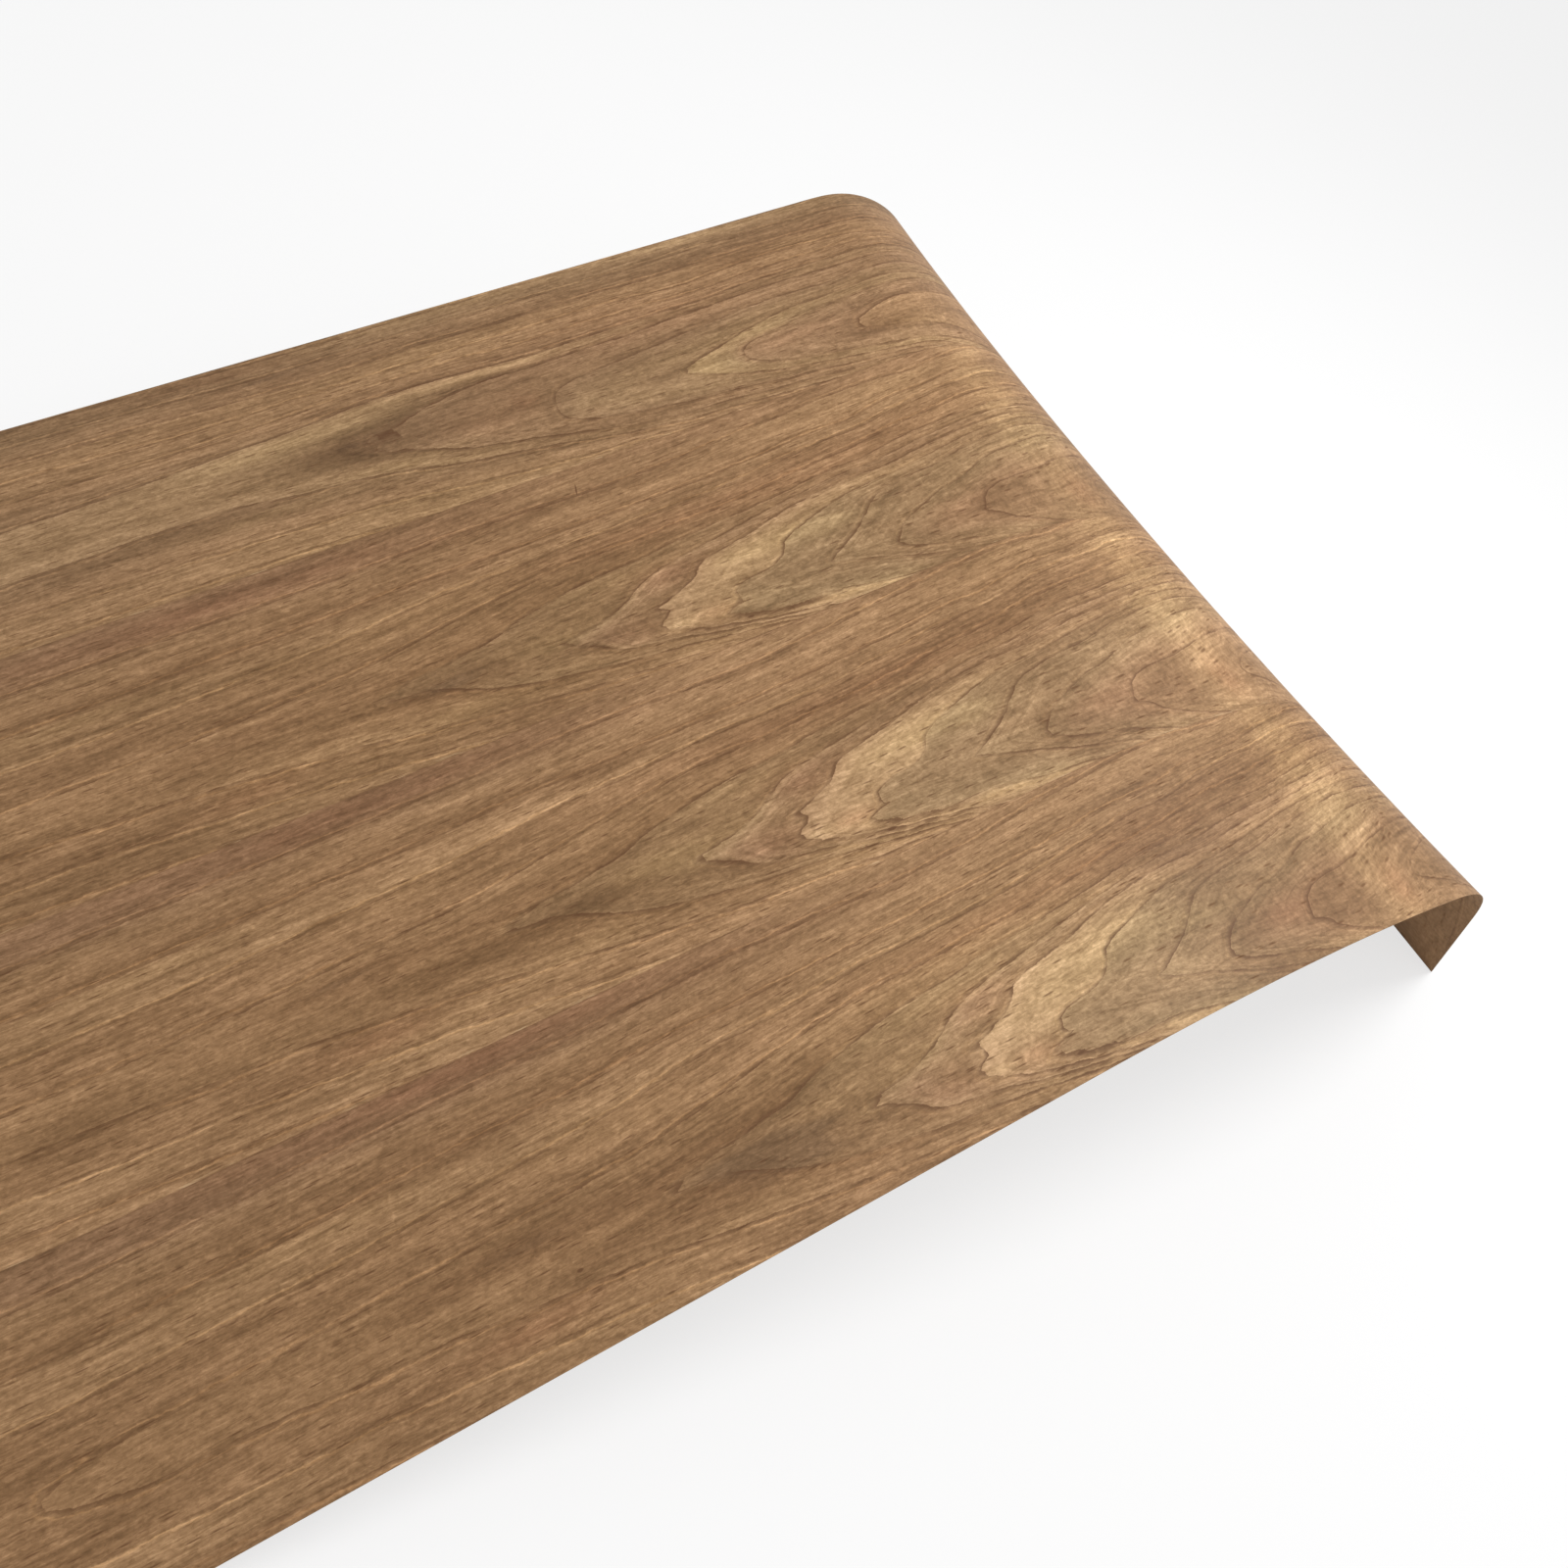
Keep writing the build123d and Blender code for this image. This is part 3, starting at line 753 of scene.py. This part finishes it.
def openPoresGroup():
    # short open pores, dark dashes that lie along the grain and gather in belts
    wires, given, out = nodeGroup("openPores", ["Place"], poreMake["usual"], ["Pores"])
    x, y, z = wires.split(given["Place"])
    place = wires.join(wires.over(x, given["Length"]), wires.over(y, given["Width"]), z)
    cells = wires.node("ShaderNodeTexVoronoi", {"Vector": place, "Scale": 1.0}).outputs
    chance = wires.split(cells["Color"])[0]
    belts = wires.grain(given["Place"], poreMake["belts"])
    level = wires.times(given["Plenty"], wires.ramp(belts, *poreMake["plentyRamp"]))
    pores = wires.times(wires.ramp(cells["Distance"], *poreMake["ovalRamp"]),
                        wires.math("LESS_THAN", chance, level))
    wires.feed(out["Pores"], pores)
    return wires.tree


ringMake = {
    # lengths in millimetres; a noise has its turns, then its detail and roughness
    "usual": {"Line Width": 1.7, "Wander": 2.6},
    "fewest": 0.006,            # rings to the millimetre, where they lie farthest apart
    "waver": ((120.0, 300.0), 4.0, 0.7),
    "broken": ((48.0, 170.0), 3.0),
    # the line's weight, by how broken it is there and by its ink
    "weightRamp": (0.36, 0.60, 0.08, 0.75),
    "inkRamp": (0.30, 0.60, 0.6, 1.1),
    # what the weight makes of the line and its shade
    "thickRamp": (0.0, 1.4, 0.7, 1.6),
    "lineRamp": (0.0, 1.0, 0.25, 1.0),
    "shadeRamp": (0.0, 1.2, 0.15, 1.0),
    "ageRamp": (-1.2, 0.4, 0.62, 1.0),      # lines are fainter in the straight grain
    "lineStart": 0.3,
    "shadeReach": 8.0,
    "rim": (0.4, 0.6, 1.5),     # where the rim rises, and between which it fades
    "layers": (16.0, 9.0),      # turns to the metre, and to each ring
    "layerShape": (3.0, 0.6),
    # by the rings to the millimetre
    "armRamp": (0.010, 0.05, 0.10, 1.0),
    "openRamp": (0.02, 0.16, 1.0, 0.0),
}


def growthRingsGroup():
    # the dark line that ends each ring, the shade that leads up to it and the pale rim beside it
    wires, given, out = nodeGroup("growthRings", ["Ring Map", "Place"], ringMake["usual"],
                                  ["Age", "Line", "Shade", "Rim", "Layers", "Openness"])
    drawnAge, drawnSlope, inkSpots = wires.split(given["Ring Map"])
    perMillimetre = wires.math("MAXIMUM", drawnSlope, ringMake["fewest"])
    waver = wires.grain(given["Place"], *ringMake["waver"])
    age = wires.plus(drawnAge, wires.times(wires.swing(waver, given["Wander"]), perMillimetre))
    wires.feed(out["Age"], age)
    share = wires.math("FRACT", age)
    toEnd = wires.over(wires.minus(1.0, share), perMillimetre)
    fromStart = wires.over(share, perMillimetre)
    broken = wires.grain(given["Place"], *ringMake["broken"])
    weight = wires.plus(wires.ramp(broken, *ringMake["weightRamp"]),
                        wires.times(inkSpots, wires.ramp(broken, *ringMake["inkRamp"])))
    thick = wires.times(given["Line Width"], wires.ramp(weight, *ringMake["thickRamp"]))
    line = wires.times(wires.ramp(toEnd, 0.0, thick, 1.0, 0.0),
                       wires.ramp(fromStart, 0.0, ringMake["lineStart"], 0.0, 1.0))
    line = wires.times(line, wires.ramp(age, *ringMake["ageRamp"]))
    wires.feed(out["Line"], wires.times(line, wires.ramp(weight, *ringMake["lineRamp"]), clamp=True))
    shade = wires.ramp(toEnd, 0.0, ringMake["shadeReach"], 1.0, 0.0)
    wires.feed(out["Shade"], wires.times(shade, wires.ramp(weight, *ringMake["shadeRamp"]), clamp=True))
    risen, fading, gone = (wires.plus(thick, reach) for reach in ringMake["rim"])
    wires.feed(out["Rim"], wires.times(wires.ramp(toEnd, thick, risen),
                                       wires.ramp(toEnd, fading, gone, 1.0, 0.0)))
    # thin layers inside a ring, which run along it and close up in the arms
    x, y, z = wires.split(given["Place"])
    alongTurns, ringTurns = ringMake["layers"]
    place = wires.join(wires.times(x, alongTurns), wires.times(age, ringTurns), z)
    layers = wires.noise(place, *ringMake["layerShape"])
    inArms = wires.ramp(perMillimetre, *ringMake["armRamp"])
    wires.feed(out["Layers"], wires.plus(0.5, wires.swing(layers, inArms)))
    wires.feed(out["Openness"], wires.ramp(perMillimetre, *ringMake["openRamp"]))
    return wires.tree


seamMake = {
    # lengths in metres
    "hairline": (0.0008, 0.0006),       # on the joint's lower and upper side
    "sliverFade": (0.0003, 0.0022, 1.0, 0.0),
    "beltWidth": (0.012, 0.030),        # at least, and how much more where it is ragged
    "beltRamp": (0.3, 1.1, 1.0, 0.0),   # in shares of that width
    "beltFade": (0.48, 0.70, 1.0, 0.12),     # plain at the flat end, faint at the standing end
    "patchy": ((22.0, 3.0), 3.0, 0.6),
    "patchyRamp": (0.35, 0.65),
    "splinter": (60.0, 700.0),
    "splinterRamp": (0.60, 0.70),
    "ragged": ((6.0, 60.0), 3.0),
}


def leafSeamsGroup():
    # the glued joints: a hairline, broken pale slivers and the darker belt under each joint
    wires, given, out = nodeGroup("leafSeams", ["Leaf Place", "Place"], {},
                                  ["Hairline", "Slivers", "Dark Belt", "Wide Leaf"])
    fromLower, toUpper, leaf = wires.split(given["Leaf Place"])
    inside = wires.math("LESS_THAN", leaf, farLeaf - 0.5)    # the far leaf has no joint on its far side
    first = wires.math("GREATER_THAN", leaf, 0.5)            # nor the near one on its near side
    below, above = seamMake["hairline"]
    hairline = wires.math("MAXIMUM", wires.times(wires.ramp(toUpper, 0.0, below, 1.0, 0.0), inside),
                          wires.times(wires.ramp(fromLower, 0.0, above, 1.0, 0.0), first))
    patchy = wires.grain(given["Place"], *seamMake["patchy"])
    wires.feed(out["Hairline"], wires.times(hairline, wires.ramp(patchy, *seamMake["patchyRamp"])))
    close = wires.times(wires.ramp(fromLower, *seamMake["sliverFade"]), first)
    splinter = wires.grain(given["Place"], seamMake["splinter"])
    wires.feed(out["Slivers"], wires.times(close, wires.ramp(splinter, *seamMake["splinterRamp"])))
    least, more = seamMake["beltWidth"]
    reach = wires.plus(least, wires.times(wires.grain(given["Place"], *seamMake["ragged"]), more))
    belt = wires.times(wires.ramp(wires.over(toUpper, reach), *seamMake["beltRamp"]), inside)
    fade = wires.ramp(wires.split(given["Place"])[0], *seamMake["beltFade"])
    wires.feed(out["Dark Belt"], wires.times(belt, fade))
    wires.feed(out["Wide Leaf"], wires.minus(1.0, inside))
    return wires.tree


# marks that came with the leaves, in metres: leaf, distance along and from the leaf's near side,
# half sizes, lean
markMake = {
    "pins": [(0, 0.7348, 0.0131, 0.0024, 0.0010, 0.1), (1, 0.7242, 0.0138, 0.0030, 0.0012, 0.1),
             (2, 0.7304, 0.0137, 0.0022, 0.0010, 0.1), (0, 0.4845, 0.0342, 0.0016, 0.0009, 0.0)],
    "scratches": [(2, 0.6883, 0.1385, 0.0006, 0.0042, 0.35)],
    "ovalRamp": (0.3, 1.3, 1.0, 0.0),
    "sameLeaf": 0.4,            # how near a leaf's number has to come
}


def smallMarksGroup():
    # pin knots and a scratch, each a soft oval at its own place
    wires, given, out = nodeGroup("smallMarks", ["Leaf Place", "Place"], {}, ["Marks"])
    fromLower, toUpper, leafNumber = wires.split(given["Leaf Place"])
    fromFlatEnd = wires.split(given["Place"])[0]
    total = 0.0
    for leaf, markAlong, markAcross, halfLength, halfWidth, lean in markMake["pins"] + markMake["scratches"]:
        aside = wires.minus(fromLower, markAcross)
        onward = wires.minus(wires.minus(fromFlatEnd, markAlong), wires.times(aside, lean))
        distance = wires.plus(wires.math("POWER", wires.over(onward, halfLength), 2.0),
                              wires.math("POWER", wires.over(aside, halfWidth), 2.0))
        onLeaf = wires.math("COMPARE", leafNumber, float(leaf), markMake["sameLeaf"])
        total = wires.plus(total, wires.times(wires.ramp(distance, *markMake["ovalRamp"]), onLeaf))
    wires.feed(out["Marks"], total)
    return wires.tree


walnutTones = {
    # ring age and tone; each ring starts after the line of the one before
    "flame": [(-8.0, 150, 117, 86), (-3.05, 150, 116, 86), (-2.97, 160, 126, 94),
              (-2.08, 147, 113, 82), (-1.98, 158, 124, 92), (-1.10, 162, 128, 95),
              (-0.98, 147, 113, 82), (-0.10, 149, 115, 84), (0.02, 154, 120, 88),
              (0.93, 148, 114, 82), (1.01, 149, 118, 87), (1.50, 154, 122, 90),
              (1.97, 145, 114, 83), (2.01, 176, 144, 112), (2.25, 164, 131, 102),
              (2.95, 148, 116, 86), (3.01, 188, 154, 121), (3.30, 180, 147, 113),
              (3.95, 176, 144, 109), (4.01, 155, 127, 96), (4.95, 156, 127, 96),
              (5.01, 165, 136, 104), (5.95, 160, 130, 98), (6.01, 150, 122, 91),
              (6.95, 163, 129, 99), (7.01, 150, 118, 88), (10.0, 150, 118, 88)],
    "wide": [(-8.0, 150, 118, 88), (-4.03, 140, 112, 84), (-3.97, 147, 117, 88),
             (-3.03, 147, 115, 86), (-2.97, 156, 123, 91), (-2.03, 154, 121, 89),
             (-1.97, 161, 127, 95), (-1.03, 150, 118, 87), (-0.97, 157, 123, 92),
             (-0.05, 140, 110, 82), (0.01, 170, 138, 106), (0.30, 160, 129, 97),
             (0.95, 124, 96, 69), (1.01, 150, 119, 91), (1.50, 152, 120, 91),
             (1.95, 144, 113, 84), (2.03, 155, 124, 95), (2.50, 157, 127, 95),
             (2.96, 151, 121, 91), (3.01, 174, 144, 108), (3.60, 165, 137, 103),
             (4.00, 152, 121, 92), (4.50, 157, 124, 95), (4.97, 141, 109, 81),
             (5.01, 160, 126, 94), (10.0, 156, 122, 90)],
    "span": (-8.0, 10.0),
    "plain": (152, 119, 88),
    "ink": (98, 64, 37),
    "pore": (98, 64, 38),
    "sliver": (205, 172, 132),
}
walnutTints = {
    # each tint multiplies what is under it
    "warmth": (1.0, 0.955, 0.84),       # takes out the white sheen that a studio light adds
    # honey is a paler wood tone, and its spots on the bend and on the near leaf's rising part are painted
    # sheen and painted light
    "honey": (1.27, 1.34, 1.34),
    "smoke": (0.80, 0.765, 0.735),
    # blush is a red-brown wood tone, and at the edge of the bend also painted shade
    "blush": (1.04, 0.95, 0.96),
    "soot": (0.78, 0.78, 0.80),         # where the smoke is thickest
    "belt": (0.79, 0.775, 0.83),
    "thread": (0.70, 0.62, 0.54),       # the darkest of the fine lines
    "fleck": (1.30, 1.32, 1.36),
    "shade": (0.72, 0.68, 0.64),
    "rim": (1.42, 1.42, 1.40),
    "pale": (0.90, 1.0, 1.18),          # how far red, green and blue go with the fibre: light is paler
}
walnutAmounts = {
    # how strong each part of the figure is, from 0 up
    "Belt": 0.80, "Streak": 1.0, "Layers": 1.15, "Fine Line": 0.90, "Hair": 0.85,
    "mottle": 1.25, "ripple": 0.65, "thread": 0.55, "fleck": 0.45, "shade": 0.58, "line": 0.80,
    "belt": 0.62, "hairline": 0.45, "slivers": 0.6, "marks": 0.8,
    # what raises and lowers the surface, and what dulls it
    "hairRelief": 0.35, "mottleRelief": 0.25, "poreRelief": 0.8, "streakGloss": 0.12, "poreGloss": 0.15,
}
walnutSpeckles = {
    # turns, detail, roughness and distortion
    "smear": ((14.0, 110.0), 3.0, 0.6), "mottle": ((330.0, 620.0), 3.0, 0.7, 0.6),
    "ripple": ((130.0, 210.0), 1.0, 0.5, 1.0), "fleck": ((210.0, 640.0), 1.0, 0.5, 1.5),
}
walnutRamps = {
    # how rings, tints, fibre and speckles turn into masks
    "own": (0.0, 1.0, 0.35, 0.90), "ragged": (0.25, 0.75, 0.55, 1.35), "soot": (1.0, 2.0),
    "thread": (0.38, 0.24), "fleck": (0.60, 0.70), "rimByAge": (-0.2, 0.6, 1.0, 0.3),
    "rimBySmear": (0.28, 0.52),
}


def linearTone(tone):
    # a tone of 0 to 255 in the linear values that a shader takes
    def channel(value):
        value = value / 255.0
        return value / 12.92 if value <= 0.04045 else ((value + 0.055) / 1.055) ** 2.4
    return (*map(channel, tone), 1.0)


def ringTones(wires, name, position):
    # the tones of the rings in a colour ramp, read by their age
    made = wires.node("ShaderNodeValToRGB", {0: position})
    low, high = walnutTones["span"]
    stops, elements = walnutTones[name], made.color_ramp.elements
    while len(elements) < len(stops):
        elements.new(0.5)
    # all places first, because a new place can change the order
    for element, stop in zip(elements, stops):
        element.position = (stop[0] - low) / (high - low)
    for element, stop in zip(elements, stops):
        element.color = linearTone(stop[1:])
    return made.outputs[0]


def walnutColourGroup():
    # the whole colour of the veneer, from its rings, tints, fibre, pores and joints
    wires, given, out = nodeGroup("walnutColour", ["Place", "Ring Map", "Tint Map", "Leaf Place"],
                                  {"Contrast": 1.0, "Pore Depth": 0.6}, ["Color", "Relief", "Gloss"])

    def effect(tree, *names):
        inputs = {name: given[name] for name in names}
        return wires.node("ShaderNodeGroup", inputs, node_tree=tree).outputs

    def weighed(mask, name):
        return wires.times(mask, walnutAmounts[name])

    def tinted(under, mask, name):
        return wires.blend("MULTIPLY", mask, under, (*walnutTints[name], 1.0))

    def glazed(under, mask, name):
        # a tint that follows the finish's contrast
        return tinted(under, wires.times(mask, weighed(given["Contrast"], name)), name)

    def lighten(under, mask, name):
        # a mask around its middle, turned into a little lighter or darker
        change = wires.times(wires.swing(mask, walnutAmounts[name]), given["Contrast"])
        shares = zip(("Red", "Green", "Blue"), walnutTints["pale"])
        grey = wires.node("ShaderNodeCombineColor", {channel: wires.math("MULTIPLY_ADD", change, share, 1.0)
                                                     for channel, share in shares})
        return wires.blend("MULTIPLY", 1.0, under, grey.outputs[0])

    def ramped(value, name, smooth=True):
        return wires.ramp(value, *walnutRamps[name], smooth=smooth)

    rings = effect(growthRings, "Ring Map", "Place")
    seams = effect(leafSeams, "Leaf Place", "Place")
    fibre = effect(fibreStreaks, "Place")
    pores = effect(openPores, "Place")["Pores"]
    marks = effect(smallMarks, "Leaf Place", "Place")["Marks"]
    speckles = {name: wires.grain(given["Place"], *shape) for name, shape in walnutSpeckles.items()}

    position = wires.ramp(rings["Age"], *walnutTones["span"], smooth=False)
    bands = [ringTones(wires, name, position) for name in ("flame", "wide")]
    base = wires.blend("MIX", seams["Wide Leaf"], *bands)
    # rings that crowd together in a flame's arms lose their own tone
    own = ramped(rings["Openness"], "own", smooth=False)
    base = wires.blend("MIX", own, linearTone(walnutTones["plain"]), base)
    base = tinted(base, 1.0, "warmth")
    ragged = ramped(speckles["smear"], "ragged")
    tints = wires.split(given["Tint Map"])
    # the honey spots also paint a sheen on the bend and light on the near leaf, and a blush spot paints
    # shade at the bend's edge
    for name, tint in zip(("honey", "smoke", "blush"), tints):
        base = tinted(base, wires.times(tint, ragged, clamp=True), name)
    base = tinted(base, ramped(wires.times(tints[1], ragged), "soot"), "soot")
    base = tinted(base, weighed(seams["Dark Belt"], "belt"), "belt")

    for group, name in ((fibre, "Belt"), (fibre, "Streak"), (rings, "Layers"), (fibre, "Fine Line"),
                        (fibre, "Hair")):
        base = lighten(base, group[name], name)
    base = glazed(base, ramped(fibre["Fine Line"], "thread"), "thread")
    for name in ("mottle", "ripple"):
        base = lighten(base, speckles[name], name)
    base = glazed(base, ramped(speckles["fleck"], "fleck"), "fleck")
    base = glazed(base, rings["Shade"], "shade")
    rim = wires.times(rings["Rim"], ramped(rings["Age"], "rimByAge"))
    base = tinted(base, wires.times(rim, ramped(speckles["smear"], "rimBySmear")), "rim")
    lineAmount = weighed(given["Contrast"], "line")
    for mask, amount, name in ((rings["Line"], lineAmount, "ink"), (pores, given["Pore Depth"], "pore"),
                               (seams["Hairline"], walnutAmounts["hairline"], "ink"),
                               (seams["Slivers"], walnutAmounts["slivers"], "sliver"),
                               (marks, walnutAmounts["marks"], "ink")):
        covered = wires.times(mask, amount, clamp=True)
        base = wires.blend("MIX", covered, base, linearTone(walnutTones[name]))
    wires.feed(out["Color"], base)
    relief = wires.plus(weighed(fibre["Hair"], "hairRelief"), weighed(speckles["mottle"], "mottleRelief"))
    wires.feed(out["Relief"], wires.minus(relief, weighed(pores, "poreRelief")))
    gloss = wires.plus(weighed(fibre["Streak"], "streakGloss"), weighed(pores, "poreGloss"))
    wires.feed(out["Gloss"], gloss)
    return wires.tree


fibreStreaks = fibreStreaksGroup()
openPores = openPoresGroup()
growthRings = growthRingsGroup()
leafSeams = leafSeamsGroup()
smallMarks = smallMarksGroup()
walnutColour = walnutColourGroup()
print("finish groups built")

finishMake = {
    # contrast of the figure, depth of the pores, roughness, shine, and relief in metres
    "walnutFace": {"contrast": 1.0, "pores": 0.70, "roughness": 0.50, "shine": 0.2, "relief": 0.00006},
    "walnutBack": {"contrast": 0.7, "pores": 0.45, "roughness": 0.62, "shine": 0.2, "relief": 0.00008},
    "walnutCutEdge": {"contrast": 0.6, "pores": 0.8, "roughness": 0.75, "shine": 0.2, "relief": 0.00004},
}


def walnutFinish(name):
    make = finishMake[name]
    material, wires = plainMaterial(name)
    inputs = {"Contrast": make["contrast"], "Pore Depth": make["pores"]}
    for socket, attribute in (("Place", "grainPlace"), ("Ring Map", "ringMap"), ("Tint Map", "tintMap"),
                              ("Leaf Place", "leafPlace")):
        inputs[socket] = wires.node("ShaderNodeAttribute", attribute_name=attribute).outputs["Vector"]
    figure = wires.node("ShaderNodeGroup", inputs, node_tree=walnutColour).outputs
    bump = wires.node("ShaderNodeBump", {"Strength": 1.0, "Distance": make["relief"],
                                         "Height": figure["Relief"]})
    shader = wires.node("ShaderNodeBsdfPrincipled",
                        {"Base Color": figure["Color"], "Normal": bump.outputs[0],
                         "Roughness": wires.plus(make["roughness"], figure["Gloss"]),
                         "Specular IOR Level": make["shine"]})
    wires.node("ShaderNodeOutputMaterial", {"Surface": shader.outputs[0]})
    sheetPiece.data.materials.append(material)


for name in finishMake:
    walnutFinish(name)
print("walnut finishes set")

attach(sheetPiece, "root")
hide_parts("veneer_sheet")
